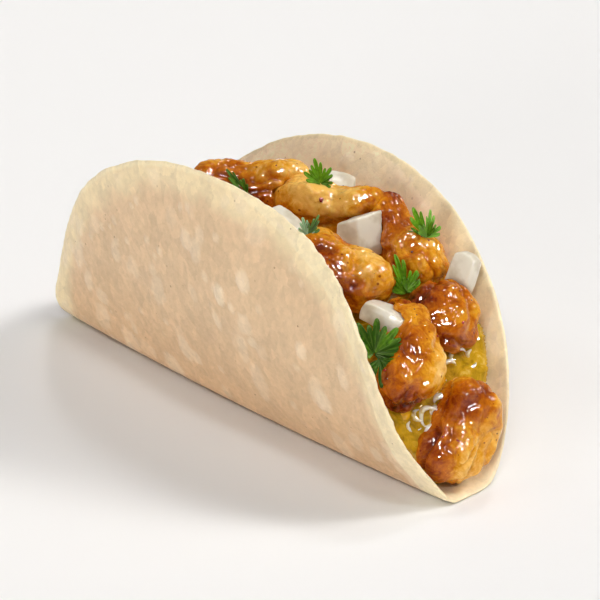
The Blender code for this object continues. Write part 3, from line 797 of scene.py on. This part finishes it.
def makeOnionFlesh():
    # raw white onion: wet, translucent flesh with faint lines where the layers part
    material, tree, shader, place = newMaterial("raw_white_onion")
    lines = addNode(tree, "TexWave", {"Scale": 1 / (3.4 * mm) / math.tau, "Distortion": 3.0, "Detail": 1.0,
                                      "Detail Scale": 0.6, "bands_direction": "DIAGONAL"},
                    {"Vector": place})
    cloud = addNode(tree, "TexNoise", {"Scale": 1 / (2.5 * mm), "Detail": 2.0}, {"Vector": place})
    blend = addNode(tree, "Math", {"operation": "MULTIPLY_ADD", 1: 0.45},
                    {0: lines.outputs["Fac"], 2: cloud})
    tone = addNode(tree, "ValToRGB", {}, {"Fac": blend}, [(0.45, onion["core"]), (0.85, onion["flesh"])])
    stained = addNode(tree, "Attribute", {"attribute_name": "stained"}).outputs["Fac"]
    colour = addNode(tree, "Mix", {"data_type": "RGBA", 7: linear(onion["stain"])},
                     {0: stained, 6: tone.outputs["Color"]})
    bump = addNode(tree, "Bump", {"Strength": 0.25, "Distance": 0.25 * mm}, {"Height": blend})
    setInputs(shader, {
        "Base Color": colour, "Normal": bump,
        "Roughness": 0.32, "Specular IOR Level": 0.2, "Coat Weight": 0.2, "Coat Roughness": 0.12,
        "Subsurface Weight": 0.6, "Subsurface Radius": (1.0, 0.95, 0.8), "Subsurface Scale": 2.5 * mm,
    })
    return material


def makeWedge():
    bpy.ops.mesh.primitive_cube_add(size=1.0 * mm)
    wedge = bpy.context.object
    wedge.name = "dice_open"
    mesh = bmesh.new()
    for corner in onion["wedge"]:
        mesh.verts.new(Vector(corner) * mm)
    bmesh.ops.convex_hull(mesh, input=mesh.verts)
    mesh.to_mesh(wedge.data)
    mesh.free()
    return wedge


onionFlesh = makeOnionFlesh()
for name in sorted(frame["nodes"]):
    if name.startswith("onion"):
        wedged = name == "onion_open"
        dice = makeWedge() if wedged else copyOfNode(name, "dice_" + name.removeprefix("onion_"))
        evenOut(dice, onion["grid"], 0.7, onion["wedgeSmoothing" if wedged else "smoothing"])
        push(dice, lambda q, normal: onion["swell"] + 0.12 * noise.noise(q / 3.0))
        # glaze creeps up from below, its border wandering by 1.2 mm
        foot = min(v.co.z for v in dice.data.vertices)
        stains = []
        for v in dice.data.vertices:
            height = (v.co.z - foot) / mm + 1.2 * noise.noise(v.co / mm / 2.0)
            stains.append(onion["stainShare"] * ease(onion["stainHeight"], 0.0, height))
        writeAttribute(dice, "stained", stains)
        finishPiece(dice, onionFlesh, "onion", name)
print("onion made")


# coriander leaves: lobes that part into round-tipped fingers, cupped, keeled and thin, all in one mesh
coriander = {
    "thickness": 0.22, "cells": (190, 9),      # mm, cells round and outwards
    "drop": 90.0, "lift": 0.5,                 # mm that an end falls from, and mm it stays above the meat
    "bright": "#70A81E", "deep": "#264A0A", "vein": "#8CB84A", "under": "#A9CDB0",
    # stem end, tip and facing in mm, width over length, kind, darkness (its own deeper green and painted
    # shade), paleness of the underside
    # an end without a height lies on the meat
    "leaves": [
        ((4.6, 15.3, 56.3), (2.3, 15.3, 62.6), (0.62, -0.62, 0.42), 0.78, "five", 0.45, 0.0),
        ((33.7, 23.9, 49.1), (29.8, 23.0, 56.2), (0.50, -0.80, 0.25), 0.70, "three", 0.42, 0.0),
        ((33.7, 23.9, 49.1), (32.9, 26.0, 55.6), (0.85, -0.35, 0.25), 0.65, "three", 0.05, 0.10),
        ((38.4, 13.0, 39.0), (33.3, 14.0, 47.4), (0.75, -0.45, 0.45), 0.60, "three", 0.05, 0.0),
        ((39.0, 12.6, 40.0), (37.6, 17.0, 43.6), (0.85, -0.30, 0.40), 0.80, "three", 0.30, 0.0),
        ((51.8, -9.3, 34.9), (49.3, -6.0, 42.6), (0.72, -0.45, 0.52), 1.05, "seven", 0.82, 0.0),
        ((53.4, -9.0, 34.0), (58.0, -9.6, 27.4), (0.69, -0.59, 0.42), 0.85, "three", 1.3, 0.0),
        ((-10.6, 4.4, 51.6), (-16.2, 2.8, 57.2), (0.55, -0.75, 0.4), 0.42, "three", 0.8, 0.0),
        ((21.4, -3.6, 53.2), (19.2, -3.4, 57.4), (0.6, -0.6, 0.5), 0.75, "three", 0.2, 0.75),
        ((21.4, -3.4, 53.4), (22.0, -0.6, 58.4), (0.7, -0.6, 0.4), 0.48, "three", 0.45, 0.15),
        ((-41.0, -5.0, None), (-47.5, -1.0, None), (-0.4, 0.1, 0.9), 0.9, "five", 0.4, 0.0),
        ((-62.5, 3.0, None), (-67.5, -1.5, None), (-0.7, -0.2, 0.7), 0.9, "three", 0.5, 0.0),
        ((-40.0, 15.0, None), (-47.0, 18.0, None), (-0.4, -0.2, 0.9), 0.8, "five", 0.2, 0.0),
    ],
    # lobes of each kind: (degrees from the tip, length)
    "three": [(0, 1.0), (54, 0.78), (-54, 0.78)],
    "five": [(0, 1.0), (50, 0.86), (-50, 0.86), (100, 0.6), (-100, 0.6)],
    "seven": [(0, 1.0), (36, 0.98), (-34, 0.95), (70, 0.9), (-66, 0.8), (100, 0.66)],
    # fingers of each lobe: (degrees from the lobe's middle, share of its length, half width in degrees)
    "fingers": [(-17, 0.80, 11.0), (0, 1.0, 11.0), (17, 0.84, 11.0)],
    "halfLobe": 26.0,       # degrees
    "span": {"three": 88.0, "five": 130.0, "seven": 142.0},      # degrees to each side of the tip
    "seed": 11,
}


def leafRadius(angle, lobes):
    # how far the leaf reaches at an angle, how near that is to a finger's middle, which side of the lobe
    best = (0.20, 0.0, 0.0)
    for middle, length in lobes:
        offset = angle - middle
        if abs(offset) < coriander["halfLobe"]:
            reach = length * 0.62 * math.cos(math.radians(offset * 90.0 / coriander["halfLobe"])) ** 0.3
            best = max(best, (reach, 0.0, offset / coriander["halfLobe"]))
        for turn, share, halfWidth in coriander["fingers"]:
            swing = math.radians((offset - turn) * 90.0 / halfWidth)
            if abs(swing) < math.pi / 2:
                reach = length * share * math.cos(swing) ** 0.42
                best = max(best, (reach, math.cos(swing) ** 6, offset / coriander["halfLobe"]))
    return best


def makeLeafGreen():
    # fresh coriander: thin, slightly waxy leaves that light glows through, paler veins, a grey underside
    material, tree, shader, place = newMaterial("fresh_coriander_leaf")
    vein, darkAndShade, pale = (addNode(tree, "Attribute", {"attribute_name": name}).outputs["Fac"]
                        for name in ("vein", "darkAndShade", "pale"))
    cloud = addNode(tree, "TexNoise", {"Scale": 1 / (1.1 * mm), "Detail": 3.0}, {"Vector": place})
    shade = addNode(tree, "MapRange", {"From Min": 0.35, "From Max": 0.65, "To Min": -0.22, "To Max": 0.22},
                    {"Value": cloud})
    # the darkness attribute holds painted shade as well as the leaf's own deeper green
    depth = addNode(tree, "Math", {"operation": "ADD", "use_clamp": True}, {0: darkAndShade, 1: shade})
    green = addNode(tree, "Mix", {"data_type": "RGBA", 6: linear(coriander["bright"]),
                                  7: linear(coriander["deep"])}, {0: depth})
    light = addNode(tree, "Math", {"operation": "MULTIPLY", 1: 0.35}, {0: vein})
    veined = addNode(tree, "Mix", {"data_type": "RGBA", 7: linear(coriander["vein"])},
                     {0: light, 6: green})
    colour = addNode(tree, "Mix", {"data_type": "RGBA", 7: linear(coriander["under"])},
                     {0: pale, 6: veined})
    bump = addNode(tree, "Bump", {"Strength": 0.5, "Distance": 0.2 * mm}, {"Height": vein})
    setInputs(shader, {
        "Base Color": colour, "Normal": bump,
        "Roughness": 0.38, "Specular IOR Level": 0.15, "Specular Tint": linear("#E6FFB0"),
        "Subsurface Weight": 0.25, "Subsurface Radius": (0.5, 1.0, 0.15), "Subsurface Scale": 0.6 * mm,
    })
    return material


def onTop(spot):
    # a leaf end without a height lies on the meat under it
    x, y, z = spot
    if z is not None:
        return Vector(spot)
    above = Vector((x, y, coriander["drop"])) * mm
    hits = [surface.ray_cast(above, Vector((0.0, 0.0, -1.0)))[0] for surface in meatSurfaces]
    return Vector((x, y, max(hit.z for hit in hits if hit) / mm + coriander["lift"]))


meatSurfaces = [BVHTree.FromObject(strip, bpy.context.evaluated_depsgraph_get()) for strip in strips]


def makeLeaf(spec, number):
    stem, tip, facing, breadth, kind, darkAndShade, pale = spec
    stem, tip, facing = onTop(stem), onTop(tip), Vector(facing)
    reach = (tip - stem).length
    forward = (tip - stem).normalized()
    normal = (facing - forward * facing.dot(forward)).normalized()
    side = forward.cross(normal)
    around, outwards = coriander["cells"]
    bpy.ops.mesh.primitive_grid_add(x_subdivisions=around, y_subdivisions=outwards, size=2.0)
    leaf = bpy.context.object
    leaf.name = "leaf_" + str(number)
    draw = random.Random(coriander["seed"] + number)
    lobes = [(middle + draw.uniform(-5, 5), length * draw.uniform(0.86, 1.06))
             for middle, length in coriander[kind]]
    # each lobe gets its own random painted shade
    lobeShades = {middle: draw.uniform(-0.35, 0.35) for middle, _ in lobes}
    cup = draw.uniform(0.10, 0.28)
    phase = draw.uniform(0.0, 6.0)
    span = coriander["span"][kind]
    veins, darksAndShade = [], []
    for v in leaf.data.vertices:
        angle = v.co.x * span
        share = (v.co.y + 1.0) / 2.0
        radius, vein, keel = leafRadius(angle, lobes)
        radius = max(radius * share, 0.02)
        turnAway = math.radians(angle)
        across, ahead = math.sin(turnAway) * radius * breadth, math.cos(turnAway) * radius
        lift = cup * radius ** 2 + 0.07 * math.sin(turnAway * 3.1 + phase) * radius
        lift -= 0.05 * vein * share + 0.10 * radius * radius * math.sin(ahead * 5.0 + phase)
        lift += 0.16 * abs(keel) * radius        # each lobe is folded along its middle
        v.co = (stem + (forward * ahead + side * across + normal * lift) * reach) * mm
        veins.append(vein * (1.0 - share * 0.6))
        nearest = min(lobes, key=lambda lobe: abs(lobe[0] - angle))[0]
        # painted shade: one side of each lobe darker and the leaf darker towards the stem, on top of its
        # darkness and its lobe's shade
        darksAndShade.append(darkAndShade + lobeShades[nearest] + 0.22 * (keel > 0) * share + 0.25 * (0.5 - share))
    writeAttribute(leaf, "vein", veins)
    writeAttribute(leaf, "darkAndShade", darksAndShade)
    writeAttribute(leaf, "pale", [pale] * len(veins))
    cleanMesh(leaf, 0.02 * mm)
    applyModifier(leaf, "SOLIDIFY", thickness=coriander["thickness"] * mm, offset=0.0)
    return leaf


leaves = joinPieces([makeLeaf(spec, k) for k, spec in enumerate(coriander["leaves"])], "coriander_leaves")
finishPiece(leaves, makeLeafGreen(), "salsa")
print("coriander made,", len(leaves.data.polygons), "faces")


# crumbs of topping: chilli flakes, scorched crumbs, chopped herb and seeds lie where they fell
bits = {
    # kind: colour, roughness, how many, size in mm, thickness over size, on which pieces, and
    # clear ones with their place and size in mm
    "chilli_flakes": ("#8E0E08", 0.18, 34, (0.45, 1.0), 0.45, ("meat",),
                      [((8.3, 12.4, 54.0), 1.3), ((70.5, 0.5, 16.0), 0.9)]),
    "scorched_crumbs": ("#2E1408", 0.5, 60, (0.22, 0.48), 0.7, ("meat",), [((34.5, 30.4, 40.8), 0.6)]),
    "chopped_herb": ("#4A7A12", 0.4, 18, (0.6, 1.5), 0.22, ("salsa_bed",), []),
    "tomatillo_seeds": ("#E6D27C", 0.25, 46, (0.7, 1.2), 0.45, ("salsa_bed",), []),
    "yellow_pepper": ("#D9A400", 0.2, 6, (1.2, 2.2), 0.6, ("salsa_bed",), [((57.6, -5.0, 20.2), 4.2)]),
}
bitsSeed = 23
bitsLowest = 12.0       # mm


def makeBitFinish(kind, colour, roughness):
    # small wet crumbs: one colour that drifts a little from crumb to crumb, with a soft glint
    material, tree, shader, place = newMaterial(kind + "_skin")
    drift = addNode(tree, "TexNoise", {"Scale": 1 / (2.0 * mm), "Detail": 2.0}, {"Vector": place})
    value = addNode(tree, "MapRange", {"From Min": 0.3, "From Max": 0.7, "To Min": 0.55, "To Max": 1.5},
                    {"Value": drift})
    tone = addNode(tree, "HueSaturation", {"Color": linear(colour)}, {"Value": value})
    bump = addNode(tree, "Bump", {"Strength": 0.4, "Distance": 0.1 * mm}, {"Height": drift})
    setInputs(shader, {"Base Color": tone, "Normal": bump, "Roughness": roughness,
                       "Coat Weight": 0.6, "Coat Roughness": 0.06})
    return material


def makeBits(kind, draw):
    colour, roughness, count, sizes, flat, hosts, clear = bits[kind]
    faces = []
    for piece in bpy.context.scene.objects:
        if piece.name.startswith(hosts) and piece.type == "MESH":
            faces += [(face.center.copy(), face.normal.copy()) for face in list(piece.data.polygons)[::7]
                      if face.normal.z > 0.15 and face.center.z > bitsLowest * mm]
    hostTree = treeOf([centre for centre, _ in faces])
    spots = []
    for place, size in clear:
        _, nearest, _ = hostTree.find(Vector(place) * mm)
        spots.append((Vector(place) * mm, faces[nearest][1], size))
    for _ in range(count):
        centre, normal = faces[draw.randrange(len(faces))]
        spots.append((centre, normal, draw.uniform(*sizes)))
    bpy.ops.object.select_all(action="DESELECT")
    bpy.ops.mesh.primitive_ico_sphere_add(subdivisions=2, radius=0.5 * mm)
    first = bpy.context.object
    for v in first.data.vertices:
        v.co *= 1.0 + 0.5 * noise.noise(v.co / mm * 2.6)
    crumbs = []
    for centre, normal, size in spots:
        crumb = first.copy()
        crumb.data = first.data.copy()
        bpy.context.scene.collection.objects.link(crumb)
        length, width = size * draw.uniform(0.8, 1.2), size * draw.uniform(0.5, 0.9)
        stretch = Matrix.Diagonal((length, width, size * flat, 1.0))
        lie = normal.to_track_quat("Z", "Y").to_matrix().to_4x4()
        spin = Matrix.Rotation(draw.uniform(0.0, math.tau), 4, "Z")
        crumb.data.transform(Matrix.Translation(centre) @ lie @ spin @ stretch)
        crumbs.append(crumb)
    bpy.data.objects.remove(first)
    return joinPieces(crumbs, kind)


draw = random.Random(bitsSeed)
for kind in bits:
    finishPiece(makeBits(kind, draw), makeBitFinish(kind, *bits[kind][:2]), "salsa")
print("crumbs made")
